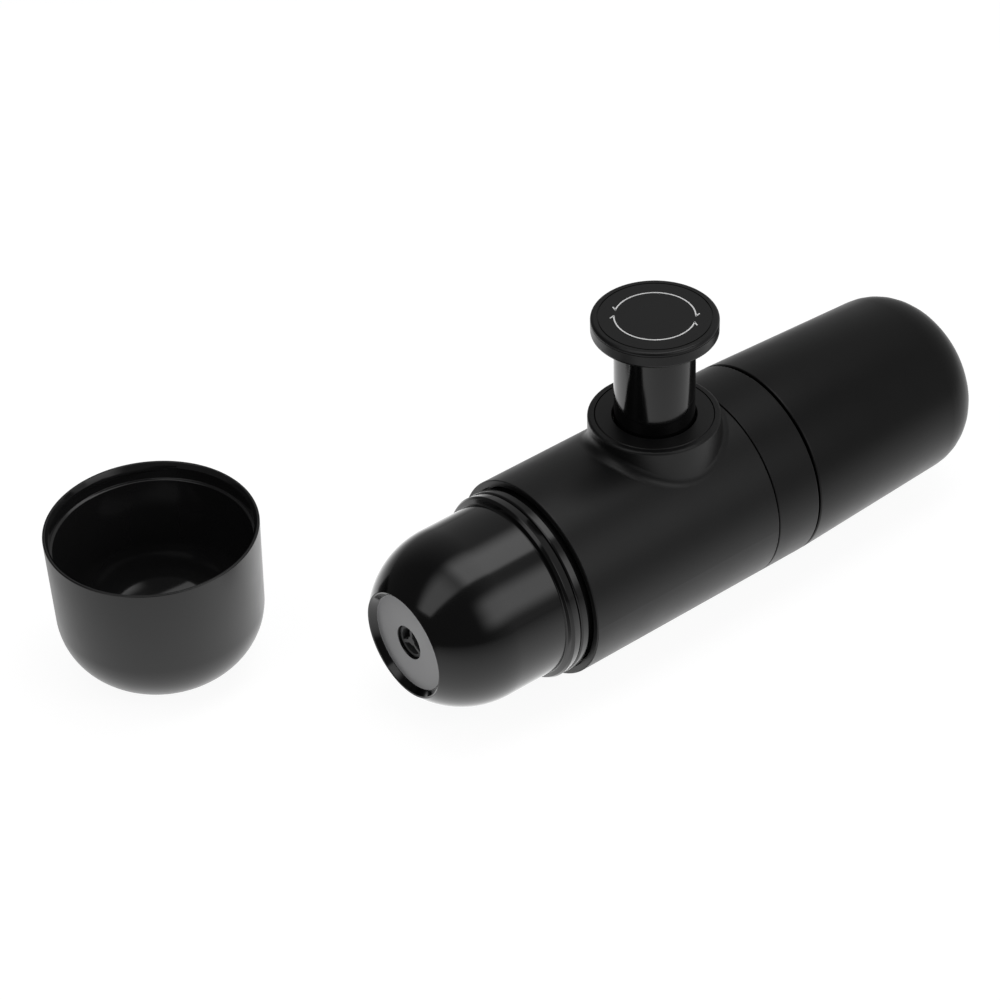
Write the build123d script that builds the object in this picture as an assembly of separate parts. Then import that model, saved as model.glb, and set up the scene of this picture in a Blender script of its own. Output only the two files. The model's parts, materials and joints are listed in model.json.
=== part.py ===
from build123d import *
import os
from math import atan2, cos, degrees, pi, radians, sin, sqrt

# Handheld manual espresso maker, lying on its side with the pump piston unlocked and up,
# and its cup unscrewed and standing beside the nose. Millimetres, +Z up.
# Every piece is drawn in the working frame: the body axis is X (nose towards -X, tank
# towards +X), the piston axis is Z, and they cross at the origin. The last section moves
# the pieces onto the ground, with the origin under the middle of the whole set.

# ---------------------------------------------------------------- driving sizes
# clearances
RUN_GAP = 0.05          # shaft in its bearing, radial
FIT_GAP = 0.1           # pieces seated in each other
PART_GAP = 0.3          # pieces that turn or pull past each other
SEAM_GAP = 0.3          # hairline seam between shells and rear collar
TANK_SEAM = 0.7         # visible groove between rear collar and tank

# casing shells
BODY_RADIUS = 30.0
SHELL_WALL = 2.6
FRONT_LENGTH = 46.3     # piston axis to the front rim
REAR_LENGTH = 21.5      # piston axis to the rear seam
RIM_ROUNDING = 0.35
RIM_LAND = 1.9          # width of the front rim's flat
MOUTH_DEPTH = 2.2
RIB_HEIGHT = 1.6        # locating ribs inside the shells
RIB_WIDTH = 1.4
FRONT_RIB_INSET = 8.8   # front rim to the first rib
REAR_RIB_INSET = 1.1    # rear end to the second rib
LIP_HEIGHT = 1.5        # tongue along the parting line
LIP_INSET = 6.0         # tongue stops short of the shell ends

# piston boss on the upper shell
BOSS_RADIUS = 19.0
BOSS_HEIGHT = 5.4       # above the top of the body
BOSS_TOP = BODY_RADIUS + BOSS_HEIGHT
BOSS_EDGE = 0.8
BOSS_FOOT = 3.0         # fillet into the body
BOSS_RING_RADIUS = 17.0
BOSS_RING_HOLE = 11.9
BOSS_RING_THICK = 2.3
SKIRT_WALL = 2.6        # inner wall round the bush
SKIRT_GAP = 1.5         # skirt's end above the pump housing

# piston, knob and bayonet
PISTON_RADIUS = 11.5
PISTON_WALL = 1.5
PISTON_REACH = 28.2     # knob's underside above the boss when up
KNOB_REST_GAP = 0.4     # left between knob and boss when pressed home
KNOB_RADIUS = 17.9
KNOB_BASE_THICK = 3.8
KNOB_SHADOW_GAP = 0.2
KNOB_CAP_THICK = 1.1
KNOB_EDGE = 0.9
CAP_SPIGOT_DEPTH = 1.0
CAP_SPIGOT_INSET = 2.6
CAP_SPIGOT_WALL = 1.5
KNOB_FLOOR = 1.5        # left under the hollow of the knob base
KNOB_HUB_WALL = 1.6     # round the screw's head
CAP_GROOVE_RADIUS = 15.9
CAP_GROOVE_WIDTH = 0.35
CAP_GROOVE_DEPTH = 0.3
PLUG_DEPTH = 3.1        # knob base inside the tube
LUG_HEIGHT = 3.4
LUG_REACH = 1.6
LUG_ANGLE = 24.0        # degrees, each of two lugs
LUG_SIDE_ANGLE = 4.0    # play in the groove, degrees each side
LOCK_LEDGE_GAP = 0.4

# bush, pump barrel, rod and seal
BUSH_WALL = 2.8
BUSH_FLANGE_THICK = 1.8
BUSH_MOUTH_DEPTH = 3.0
BARREL_BORE = 7.5
BARREL_WALL = 2.0
BARREL_SEAT_DEPTH = 2.0
ROD_RADIUS = 4.0
ROD_STUB_RADIUS = 2.5
ROD_FOOT_RADIUS = 3.3
ROD_FOOT_THICK = 0.5
SEAL_HEIGHT = 3.6
SEAL_LIP = 0.9
SEAL_DEPTH = 1.0        # top of the seal below the barrel's top, piston up
WASHER_THICK = 0.8
SPRING_WIRE = 1.2
SPRING_TURNS = 7
WIRE_SIDES = 6          # the coils' wire is drawn six-sided to keep them light

# pump housing
HOUSING_WALL = 2.6
FLOOR_COVER = 9.6       # chamber floor to the underside of the body
FLOOR_DEPTH = BODY_RADIUS - FLOOR_COVER
TRACK_COVER = 2.0       # bayonet track above the lugs and the flange
RECESS_MARGIN = 0.4     # bayonet recess beyond the lugs' own height
PASSAGE_RADIUS = 1.2
PASSAGE_WALL = 0.8
PASSAGE_DROP = 3.3      # passage axis below the chamber floor
PASSAGE_DEPTH = FLOOR_DEPTH + PASSAGE_DROP
HOUSING_SIDE_GAP = 0.4  # housing to the casing's inside
MANIFOLD_RISE = 1.4     # solid foot round the passages, above the chamber floor
MANIFOLD_TOP = MANIFOLD_RISE - FLOOR_DEPTH
MANIFOLD_WIDTH = 36.0
FLANGE_LENGTH = 26.8
FLANGE_WIDTH = 44.8
FLANGE_THICK = 3.0
FLANGE_TOP = 12.5
SCREW_X = 10.0
SCREW_Y = 19.0
SCREW_RADIUS = 1.3
SCREW_HEAD_RADIUS = 2.5
SCREW_HEAD_THICK = 1.8
SCREW_SLOT_WIDTH = 0.65
SCREW_GRIP = 5.0        # shank length inside the post
POST_RADIUS = 2.8

# inlet side
INLET_Z = -14.0
INLET_ARM_RADIUS = 6.2
INLET_ARM_END = 25.0
INLET_BORE = 4.0
INLET_TUBE_WALL = 1.1
INLET_TUBE_START = 20.6
FLAP_THICK = 1.0
FLAP_STEM_RADIUS = 1.2
FLAP_STEM_LENGTH = 2.0
STRAINER_RADIUS = 5.0
STRAINER_LENGTH = 6.0
STRAINER_WALL = 1.0
STRAINER_SLOTS = 6

# pressure valve column
VALVE_X = -25.0
COLUMN_WALL = 2.2
VALVE_BORE = 5.0
COLUMN_TOP = 5.0
SEAT_RISE = 5.1         # seat's top above the passage axis
SEAT_TOP = SEAT_RISE - PASSAGE_DEPTH
SEAT_HEIGHT = 2.6
SEAT_RADIUS = 4.0
SEAT_HOLE = 1.5
POPPET_RADIUS = 3.6
POPPET_SHOULDER = 3.0   # shoulder above the seat's top
POPPET_STEM_RADIUS = 1.5
POPPET_STEM_LENGTH = 5.0
VALVE_WIRE = 0.6
VALVE_SPRING_RADIUS = 2.6
VALVE_SPRING_TURNS = 4
CAP_BOTTOM = -1.0
CAP_HEAD_THICK = 1.6
HEX_SOCKET = 4.0        # across flats
NOZZLE_Z = -8.0
NOZZLE_RADIUS = 3.6
NOZZLE_BORE = 2.2

# brew collar and what it carries
NECK_STEP = 2.0         # neck band below the casing's surface
NECK_RADIUS = BODY_RADIUS - NECK_STEP
NECK_WIDTH = 2.6
NECK_EDGE_ROUNDING = 0.7
NECK_GAP = 1.5          # dark gap between neck band and front rim
COLLAR_FLANGE_GAP = 0.2 # seam between head flange and neck band
NECK_WALL = 3.4
COLLAR_BORE = NECK_RADIUS - NECK_WALL
COLLAR_BORE_DEPTH = 7.8
COLLAR_REAR_GAP = 2.0   # collar's rear end to the valve column
BULKHEAD_THICK = 3.0
GASKET_STEP = 1.9       # gasket's edge inside the bore
GASKET_WIDTH = 2.8
GASKET_OUTER = COLLAR_BORE - GASKET_STEP
GASKET_INNER = GASKET_OUTER - GASKET_WIDTH
GASKET_THICK = 2.1
GASKET_PROUD = 0.4
SHOWER_STEP = 0.6       # shower plate's edge inside the gasket
SHOWER_RADIUS = GASKET_INNER - SHOWER_STEP
SHOWER_THICK = 0.6
SHOWER_DEPTH = 1.0      # plate behind the gasket's seat shoulder
SHOWER_CHAMBER = 1.6
SHOWER_LEDGE = 1.4
SHOWER_HOLE = 1.2
SHOWER_HOLES = 8
SHOWER_BOSS_RADIUS = 4.0
SHOWER_SCREW_RADIUS = 1.4
SHOWER_SCREW_HEAD = 3.2
SHOWER_SCREW_HEAD_THICK = 1.4
SHOWER_SCREW_GRIP = 3.2

# outlet head
FLANGE_EDGE_WIDTH = 3.1
FLANGE_EDGE_ROUNDING = 0.35
FLANGE_FACE_SLOPE = 0.4
DOME_STEP = 2.0         # dome's foot inside the flange
DOME_BASE_RADIUS = NECK_RADIUS - DOME_STEP
DOME_STRAIGHT = 15.7    # flange face to the start of the dome's arc
DOME_ARC = 28.0
NOSE_X = -90.75
NOSE_LIP = 0.45         # rim stands this far past the dome's end
NOSE_RECESS_DEPTH = 2.0
NOSE_NARROWING = 11.6   # from the dome's foot to the recess in the nose
NOSE_RECESS_RADIUS = DOME_BASE_RADIUS - NOSE_NARROWING
NOSE_RIM_LAND = 0.9
NOSE_FLOOR_THICK = 2.5
SPOUT_HOLE = 5.0
HEAD_SPIGOT_WALL = 1.9
HEAD_LEDGE = 0.5        # step that the basket's rim sits on
HEAD_BORE = COLLAR_BORE - PART_GAP - HEAD_SPIGOT_WALL - HEAD_LEDGE
SCREEN_SEAT_LAND = 2.0
SCREEN_THICK = 0.5
SCREEN_HOLE = 1.8
SCREEN_HOLES = 6        # round the middle one
HEAD_WALL = 2.6
ORING_RADIUS = 0.7

# filter basket
BASKET_WALL = 1.5
BASKET_RIM_WIDTH = 0.9
BASKET_RIM_THICK = 1.8
BASKET_LENGTH = 24.5
BASKET_FLOOR = 1.6
FILTER_THICK = 0.5
BASKET_HOLE = 2.2
BASKET_HOLES = 6        # round the middle one

# spout insert
INSERT_WALL = 0.9
INSERT_FLANGE_WIDTH = 1.6
INSERT_FLANGE_THICK = 1.0
INSERT_RECESS = 0.9
INSERT_ARMS = 3
INSERT_ARM_WIDTH = 1.0
INSERT_HUB_RADIUS = 1.3

# rear collar and tank
BAND_WIDTH = 15.3
COLLAR_WALL = 2.6
REAR_BULKHEAD_X = 27.0
THREAD_SPIGOT_STEP = 3.5    # below the band's surface
THREAD_SPIGOT_RADIUS = BODY_RADIUS - THREAD_SPIGOT_STEP
THREAD_SPIGOT_LENGTH = 8.9
THREAD_SPIGOT_WALL = 2.5
TANK_LENGTH = 71.6
TANK_TAPER = 2.6        # radius lost where the taper would reach the end face
TANK_END_RADIUS = BODY_RADIUS - TANK_TAPER
TANK_END_FILLET = 16.4
TANK_WALL = 2.4
TANK_MOUTH_ROUNDING = 0.5
TANK_SEAL_INSET = 2.2

# cup
CUP_X = -125.8
CUP_Y = 69.8
CUP_HEIGHT = 47.4
CUP_RIM_STEP = 0.5      # cup's rim beyond the casing's surface
CUP_FLARE = 0.7
CUP_RIM_RADIUS = BODY_RADIUS + CUP_RIM_STEP
CUP_SIDE_RADIUS = CUP_RIM_RADIUS - CUP_FLARE
CUP_BASE_RADIUS = 10.0
CUP_ROUND_HEIGHT = 20.0
CUP_WALL = 1.6
CUP_MOUTH_WALL = 1.5
CUP_MOUTH_DEPTH = 5.2
CUP_RIM_ROUNDING = 0.5

# ---------------------------------------------------------------- places worked out from the sizes
front_x = -FRONT_LENGTH
rear_x = REAR_LENGTH
inner_radius = BODY_RADIUS - SHELL_WALL
rib_radius = inner_radius - RIB_HEIGHT
front_rib = (front_x + FRONT_RIB_INSET, front_x + FRONT_RIB_INSET + RIB_WIDTH)
rear_rib = (rear_x - REAR_RIB_INSET - RIB_WIDTH, rear_x - REAR_RIB_INSET)
seated_radius = inner_radius - PART_GAP

knob_bottom = BOSS_TOP + PISTON_REACH
stroke = PISTON_REACH - KNOB_REST_GAP
boss_ring_bottom = BOSS_TOP - BOSS_RING_THICK
bush_radius = PISTON_RADIUS + BUSH_WALL
bush_flange_bottom = boss_ring_bottom - BUSH_FLANGE_THICK
bush_flange_radius = BOSS_RING_RADIUS

tube_inner = PISTON_RADIUS - PISTON_WALL
lug_radius = PISTON_RADIUS + LUG_REACH
track_radius = lug_radius + PART_GAP
track_angle = LUG_ANGLE + 2 * LUG_SIDE_ANGLE
housing_radius = track_radius + HOUSING_WALL

inlet_bore_start = track_radius + PASSAGE_RADIUS
inlet_drop_x = inlet_bore_start + PASSAGE_RADIUS - FIT_GAP
inlet_block_end = inlet_drop_x + PASSAGE_RADIUS + PASSAGE_WALL

barrel_bottom = -FLOOR_DEPTH - BARREL_SEAT_DEPTH
barrel_radius = BARREL_BORE + BARREL_WALL
rod_foot_bottom = barrel_bottom + stroke + PART_GAP + FIT_GAP
seal_bottom = rod_foot_bottom + ROD_FOOT_THICK + FIT_GAP
seal_top = seal_bottom + SEAL_HEIGHT
barrel_top = seal_top + SEAL_DEPTH
tube_foot = stroke - FLOOR_DEPTH + 2 * LOCK_LEDGE_GAP + PART_GAP
lug_top = tube_foot + LUG_HEIGHT
track_top = max(lug_top, FLANGE_TOP) + TRACK_COVER
upper_recess_bottom = tube_foot - RECESS_MARGIN
lower_recess_top = lug_top - stroke + LOCK_LEDGE_GAP
plug_bottom = knob_bottom - PLUG_DEPTH
washer_bottom = plug_bottom - FIT_GAP - WASHER_THICK
spring_radius = BARREL_BORE + BARREL_WALL / 2

knob_base_top = knob_bottom + KNOB_BASE_THICK
knob_cap_bottom = knob_base_top + KNOB_SHADOW_GAP
knob_top = knob_cap_bottom + KNOB_CAP_THICK
cap_spigot_radius = KNOB_RADIUS - CAP_SPIGOT_INSET
cap_spigot_bottom = knob_cap_bottom - CAP_SPIGOT_DEPTH

column_radius = VALVE_BORE + COLUMN_WALL
seat_bottom = SEAT_TOP - SEAT_HEIGHT
poppet_shoulder_z = SEAT_TOP + POPPET_SHOULDER

neck_rear = front_x - NECK_GAP
neck_front = neck_rear - NECK_WIDTH
bore_end = neck_front + COLLAR_BORE_DEPTH
gasket_front = bore_end - GASKET_PROUD
gasket_rear = gasket_front + GASKET_THICK
shower_front = bore_end + SHOWER_DEPTH
shower_rear = shower_front + SHOWER_THICK
bulkhead_front = shower_rear + SHOWER_CHAMBER
bulkhead_rear = bulkhead_front + BULKHEAD_THICK
brew_collar_rear = VALVE_X - column_radius - COLLAR_REAR_GAP

head_spigot_radius = COLLAR_BORE - PART_GAP
head_spigot_inner = head_spigot_radius - HEAD_SPIGOT_WALL
head_spigot_end = bore_end - 2 * PART_GAP
flange_rear = neck_front - COLLAR_FLANGE_GAP
flange_front = flange_rear - FLANGE_EDGE_WIDTH
head_gasket_x = flange_rear + ORING_RADIUS + FIT_GAP
head_gasket_radius = head_spigot_radius + FIT_GAP
dome_start = flange_front - FLANGE_FACE_SLOPE
dome_arc_x = dome_start - DOME_STRAIGHT
dome_arc_r = DOME_BASE_RADIUS - DOME_ARC
nose_radius = dome_arc_r + sqrt(DOME_ARC ** 2 - (dome_arc_x - NOSE_X) ** 2)
nose_floor = NOSE_X - NOSE_LIP + NOSE_RECESS_DEPTH
nose_inside = nose_floor + NOSE_FLOOR_THICK

basket_top = gasket_front - FIT_GAP
basket_rim_bottom = basket_top - BASKET_RIM_THICK
basket_radius = HEAD_BORE - PART_GAP
basket_rim_radius = min(basket_radius + BASKET_RIM_WIDTH, head_spigot_inner - PART_GAP)
basket_inner = basket_radius - BASKET_WALL
basket_bottom = basket_top - BASKET_LENGTH
head_ledge = basket_rim_bottom - FIT_GAP
screen_rear = basket_bottom - PART_GAP
screen_front = screen_rear - SCREEN_THICK
screen_radius = HEAD_BORE - FIT_GAP
throat_radius = HEAD_BORE - SCREEN_SEAT_LAND

band_front = rear_x + SEAM_GAP
band_rear = band_front + BAND_WIDTH
rear_spigot_front = max(bush_radius + SKIRT_WALL, inlet_block_end) + PART_GAP
rear_bulkhead_rear = REAR_BULKHEAD_X + BULKHEAD_THICK
thread_spigot_end = band_rear + THREAD_SPIGOT_LENGTH
tank_front = band_rear + TANK_SEAM
tank_end = tank_front + TANK_LENGTH
tank_mouth_inner = THREAD_SPIGOT_RADIUS + PART_GAP
tank_seal_x = tank_front + TANK_SEAL_INSET
tank_seal_radius = THREAD_SPIGOT_RADIUS + FIT_GAP + ORING_RADIUS
inlet_tube_radius = INLET_BORE - FIT_GAP
inlet_tube_end = rear_bulkhead_rear + PART_GAP

# the whole set stands on the ground, with the origin under the middle of its box
lowest_x = CUP_X - CUP_RIM_RADIUS
highest_y = CUP_Y + CUP_RIM_RADIUS
place = Pos(
    -(lowest_x + tank_end) / 2,
    -(highest_y - BODY_RADIUS) / 2,
    BODY_RADIUS,
)


# ---------------------------------------------------------------- drawing helpers
def outline(*points):
    """Closed face through (u, v) points; a third value rounds that corner."""
    corners = [point[:2] for point in points]
    roundings = [point[2] if len(point) == 3 else 0 for point in points]
    return make_face(FilletPolyline(*corners, radius=roundings, close=True).edges())


def turned_x(*points):
    """Solid turned about the body axis from (x, radius) points."""
    return revolve(outline(*points), Axis.X)


def turned_z(*points):
    """Solid turned about the piston axis from (radius, z) points."""
    return revolve(Plane.XZ * outline(*points), Axis.Z)


def rod_x(start, end, radius, y=0, z=0):
    """Round bar along X."""
    bar = Cylinder(radius, end - start, align=(Align.CENTER, Align.CENTER, Align.MIN))
    return Pos(start, y, z) * Rot(0, 90, 0) * bar


def rod_z(bottom, top, radius, x=0, y=0):
    """Round bar along Z."""
    bar = Cylinder(radius, top - bottom, align=(Align.CENTER, Align.CENTER, Align.MIN))
    return Pos(x, y, bottom) * bar


def tube_z(bottom, top, inner, outer, x=0, y=0):
    return rod_z(bottom, top, outer, x, y) - rod_z(bottom, top, inner, x, y)


def block(x_range, y_half, z_range):
    """Rectangular block, centred on y = 0."""
    length = x_range[1] - x_range[0]
    height = z_range[1] - z_range[0]
    centre = Pos(sum(x_range) / 2, 0, sum(z_range) / 2)
    return centre * Box(length, 2 * y_half, height)


def sector_z(bottom, top, inner, outer, angle):
    """Two opposite ring sectors about Z, each spanning the angle, centred on the Y axis."""
    across = 2 * outer * sin(radians(angle / 2))
    along = 2 * outer * cos(radians(angle / 2))
    side = Polyline((0, 0), (-across, along), (across, along), close=True)
    wedge = Pos(0, 0, bottom) * extrude(make_face(side), top - bottom)
    wedges = wedge + Rot(0, 0, 180) * wedge
    return tube_z(bottom, top, inner, outer) & wedges


def slotted_z(screw, top_or_bottom, x=0, y=0):
    """Driver slot across a screw head, centred on one of its end faces."""
    slot = Box(2 * SCREW_HEAD_RADIUS, SCREW_SLOT_WIDTH, SCREW_HEAD_THICK)
    return screw - Pos(x, y, top_or_bottom) * slot


def hole_ring_x(start, end, radius, count, pitch):
    """Drills along X, evenly spaced on a ring of the pitch radius."""
    drills = []
    for index in range(count):
        turn = 2 * pi * index / count
        drills.append(rod_x(start, end, radius, pitch * cos(turn), pitch * sin(turn)))
    return drills


def coil(bottom, top, radius, wire, turns, x=0):
    """Compression spring about a vertical axis, its wire inside the two end planes."""
    rise = top - bottom - wire
    path = Helix(pitch=rise / turns, height=rise, radius=radius)
    section = Plane(origin=path @ 0, z_dir=path % 0) * RegularPolygon(wire / 2, WIRE_SIDES)
    return Pos(x, 0, bottom + wire / 2) * sweep(section, path=path, is_frenet=True)


# ---------------------------------------------------------------- casing
def casing_cavity():
    """Everything inside the two shells, ribs and mouth included."""
    beyond = SHELL_WALL
    mouth_radius = BODY_RADIUS - RIM_LAND
    mouth_end = front_x + MOUTH_DEPTH
    return turned_x(
        (front_x - beyond, 0),
        (front_x - beyond, mouth_radius),
        (mouth_end, mouth_radius),
        (mouth_end, inner_radius),
        (front_rib[0], inner_radius),
        (front_rib[0], rib_radius),
        (front_rib[1], rib_radius),
        (front_rib[1], inner_radius),
        (rear_rib[0], inner_radius),
        (rear_rib[0], rib_radius),
        (rear_rib[1], rib_radius),
        (rear_rib[1], inner_radius),
        (rear_x + beyond, inner_radius),
        (rear_x + beyond, 0),
    )


def casing_body():
    return turned_x(
        (front_x, 0),
        (front_x, BODY_RADIUS, RIM_ROUNDING),
        (rear_x, BODY_RADIUS, SEAM_GAP),
        (rear_x, 0),
    )


def parting_lip(growth):
    """Tongue along both parting lines, or with growth the rebate that takes it."""
    start = front_x + LIP_INSET - growth
    end = rear_x - LIP_INSET + growth
    middle = inner_radius + SHELL_WALL / 2
    ring = rod_x(start, end, middle + growth) - rod_x(start, end, inner_radius - growth)
    return ring & block((start, end), BODY_RADIUS, (-LIP_HEIGHT - growth, 0))


def upper_shell():
    half = split(casing_body(), Plane.XY, keep=Keep.TOP)
    boss = rod_z(0, BOSS_TOP, BOSS_RADIUS)
    joined = half + boss
    foot = min(BOSS_FOOT, 0.6 * (BOSS_TOP - BODY_RADIUS))
    junction = new_edges(half, boss, combined=joined)
    seam = junction.filter_by(lambda edge: edge.center().Z > BODY_RADIUS / 2)
    joined = fillet(seam, foot)
    top_edge = joined.edges().filter_by(GeomType.CIRCLE).sort_by(Axis.Z)[-1]
    joined = fillet(top_edge, BOSS_EDGE)
    skirt_radius = bush_radius + SKIRT_WALL
    shell = joined - split(casing_cavity(), Plane.XY, keep=Keep.TOP)
    shell += rod_z(track_top + SKIRT_GAP, bush_flange_bottom, skirt_radius)
    for x in (-SCREW_X, SCREW_X):
        for y in (-SCREW_Y, SCREW_Y):
            post = rod_z(FLANGE_TOP, BOSS_TOP, POST_RADIUS, x, y)
            shell += post & rod_x(front_x, rear_x, inner_radius + SHELL_WALL / 2)
    for x in (-SCREW_X, SCREW_X):
        for y in (-SCREW_Y, SCREW_Y):
            shell -= rod_z(0, FLANGE_TOP + SCREW_GRIP + FIT_GAP, SCREW_RADIUS + FIT_GAP, x, y)
    shell -= rod_z(0, bush_flange_bottom, bush_radius + FIT_GAP)
    shell -= rod_z(bush_flange_bottom, BOSS_TOP, BOSS_RING_RADIUS + FIT_GAP)
    return shell + parting_lip(0)


def lower_shell():
    half = split(casing_body() - casing_cavity(), Plane.XY, keep=Keep.BOTTOM)
    return half - parting_lip(FIT_GAP)


def rear_collar():
    """Band between the seams: spigot into the shells, bulkhead, tank thread spigot."""
    spigot_inner = seated_radius - COLLAR_WALL
    groove = rib_radius - PART_GAP
    body = turned_x(
        (rear_spigot_front, spigot_inner),
        (rear_spigot_front, seated_radius),
        (rear_rib[0] - FIT_GAP, seated_radius),
        (rear_rib[0] - FIT_GAP, groove),
        (rear_rib[1] + FIT_GAP, groove),
        (rear_rib[1] + FIT_GAP, seated_radius),
        (band_front, seated_radius),
        (band_front, BODY_RADIUS, SEAM_GAP),
        (band_rear, BODY_RADIUS, TANK_MOUTH_ROUNDING),
        (band_rear, THREAD_SPIGOT_RADIUS),
        (thread_spigot_end, THREAD_SPIGOT_RADIUS),
        (thread_spigot_end, THREAD_SPIGOT_RADIUS - THREAD_SPIGOT_WALL),
        (rear_bulkhead_rear, THREAD_SPIGOT_RADIUS - THREAD_SPIGOT_WALL),
        (rear_bulkhead_rear, 0),
        (REAR_BULKHEAD_X, 0),
        (REAR_BULKHEAD_X, spigot_inner),
    )
    return body - rod_x(REAR_BULKHEAD_X, rear_bulkhead_rear, inlet_tube_radius + FIT_GAP, z=INLET_Z)


def boss_ring():
    return turned_z(
        (BOSS_RING_HOLE, boss_ring_bottom),
        (BOSS_RING_RADIUS, boss_ring_bottom),
        (BOSS_RING_RADIUS, BOSS_TOP - SEAM_GAP),
        (BOSS_RING_RADIUS - SEAM_GAP, BOSS_TOP),
        (BOSS_RING_HOLE + SEAM_GAP, BOSS_TOP),
        (BOSS_RING_HOLE, BOSS_TOP - SEAM_GAP),
    )


def guide_bush():
    bore = PISTON_RADIUS + RUN_GAP
    mouth = boss_ring_bottom - BUSH_MOUTH_DEPTH
    return turned_z(
        (bore, track_top),
        (bush_radius, track_top),
        (bush_radius, bush_flange_bottom),
        (bush_flange_radius, bush_flange_bottom),
        (bush_flange_radius, boss_ring_bottom),
        (BOSS_RING_HOLE, boss_ring_bottom),
        (BOSS_RING_HOLE, mouth),
        (bore, mouth - (BOSS_RING_HOLE - bore)),
    )


# ---------------------------------------------------------------- pump
def pump_housing():
    """Chassis block: bayonet track, chamber floor, inlet arm and pressure valve column."""
    lowest = -BODY_RADIUS
    inside = rod_x(front_x, rear_x + BAND_WIDTH, inner_radius - HOUSING_SIDE_GAP)
    flange = Pos(0, 0, FLANGE_TOP - FLANGE_THICK) * extrude(
        RectangleRounded(FLANGE_LENGTH, FLANGE_WIDTH, POST_RADIUS + FIT_GAP), FLANGE_THICK
    )
    solid = rod_z(lowest, track_top, housing_radius) + flange
    solid += rod_x(0, INLET_ARM_END, INLET_ARM_RADIUS, z=INLET_Z)
    manifold = (VALVE_X - column_radius, inlet_block_end)
    solid += block(manifold, MANIFOLD_WIDTH / 2, (lowest, MANIFOLD_TOP))
    solid += block((0, inlet_block_end), INLET_BORE, (lowest, INLET_Z))
    solid += rod_z(lowest, COLUMN_TOP, column_radius, VALVE_X)
    solid += block((VALVE_X, 0), VALVE_BORE, (lowest, NOZZLE_Z))
    solid += rod_x(bulkhead_rear - BULKHEAD_THICK / 2, VALVE_X, NOZZLE_RADIUS, z=NOZZLE_Z)
    solid &= inside
    # piston chamber with its two bayonet grooves and the recesses at their ends
    solid -= rod_z(-FLOOR_DEPTH, track_top, PISTON_RADIUS + PART_GAP)
    solid -= rod_z(-FLOOR_DEPTH, lower_recess_top, track_radius)
    solid -= rod_z(upper_recess_bottom, track_top, track_radius)
    solid -= sector_z(-FLOOR_DEPTH, track_top, PISTON_RADIUS, track_radius, track_angle)
    solid -= rod_z(barrel_bottom, -FLOOR_DEPTH, barrel_radius + FIT_GAP)
    # water passages
    solid -= rod_z(-PASSAGE_DEPTH, barrel_bottom, PASSAGE_RADIUS)
    solid -= rod_x(VALVE_X, inlet_drop_x, PASSAGE_RADIUS, z=-PASSAGE_DEPTH)
    solid -= rod_z(-PASSAGE_DEPTH, INLET_Z, PASSAGE_RADIUS, inlet_drop_x)
    solid -= rod_x(inlet_bore_start, INLET_ARM_END, INLET_BORE, z=INLET_Z)
    solid -= rod_z(-PASSAGE_DEPTH, seat_bottom, PASSAGE_RADIUS, VALVE_X)
    solid -= rod_z(seat_bottom, COLUMN_TOP, SEAT_RADIUS + FIT_GAP, VALVE_X)
    solid -= rod_z(SEAT_TOP, COLUMN_TOP, VALVE_BORE, VALVE_X)
    solid -= rod_x(bulkhead_rear - BULKHEAD_THICK, VALVE_X, NOZZLE_BORE, z=NOZZLE_Z)
    for x in (-SCREW_X, SCREW_X):
        for y in (-SCREW_Y, SCREW_Y):
            solid -= rod_z(0, FLANGE_TOP, SCREW_RADIUS + FIT_GAP, x, y)
    return solid


def housing_screws():
    """Four screws from below, through the housing's flange into the upper shell's posts."""
    flange_bottom = FLANGE_TOP - FLANGE_THICK
    head_bottom = flange_bottom - SCREW_HEAD_THICK
    screws = []
    for x in (-SCREW_X, SCREW_X):
        for y in (-SCREW_Y, SCREW_Y):
            head = rod_z(head_bottom, flange_bottom, SCREW_HEAD_RADIUS, x, y)
            shank = rod_z(flange_bottom, FLANGE_TOP + SCREW_GRIP, SCREW_RADIUS, x, y)
            screws.append(slotted_z(head + shank, head_bottom, x, y))
    return Compound(children=[screw.solid() for screw in screws])


def pump_barrel():
    return turned_z(
        (BARREL_BORE, barrel_bottom),
        (barrel_radius, barrel_bottom),
        (barrel_radius, barrel_top),
        (BARREL_BORE, barrel_top),
    )


def pump_spring():
    return coil(barrel_top, washer_bottom, spring_radius, SPRING_WIRE, SPRING_TURNS)


def spring_washer():
    top = plug_bottom - FIT_GAP
    return tube_z(washer_bottom, top, ROD_RADIUS + PART_GAP, tube_inner - PART_GAP)


def piston_seal():
    """Lip seal: the skirt at its foot widens to run on the barrel."""
    run = BARREL_BORE - RUN_GAP
    waist = run - SEAL_LIP
    stub = ROD_STUB_RADIUS + RUN_GAP
    return turned_z(
        (stub, seal_bottom + SEAL_LIP),
        (waist - SEAL_LIP, seal_bottom + SEAL_LIP),
        (run - SEAL_LIP / 2, seal_bottom),
        (run, seal_bottom),
        (run, seal_bottom + SEAL_LIP),
        (waist, seal_bottom + 2 * SEAL_LIP),
        (waist, seal_top - SEAL_LIP),
        (run, seal_top - SEAL_LIP / 2),
        (run, seal_top),
        (stub, seal_top),
    )


# ---------------------------------------------------------------- piston and knob
def piston_tube():
    tube = tube_z(tube_foot, knob_bottom, tube_inner, PISTON_RADIUS)
    return tube + sector_z(tube_foot, lug_top, tube_inner, lug_radius, LUG_ANGLE)


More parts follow.
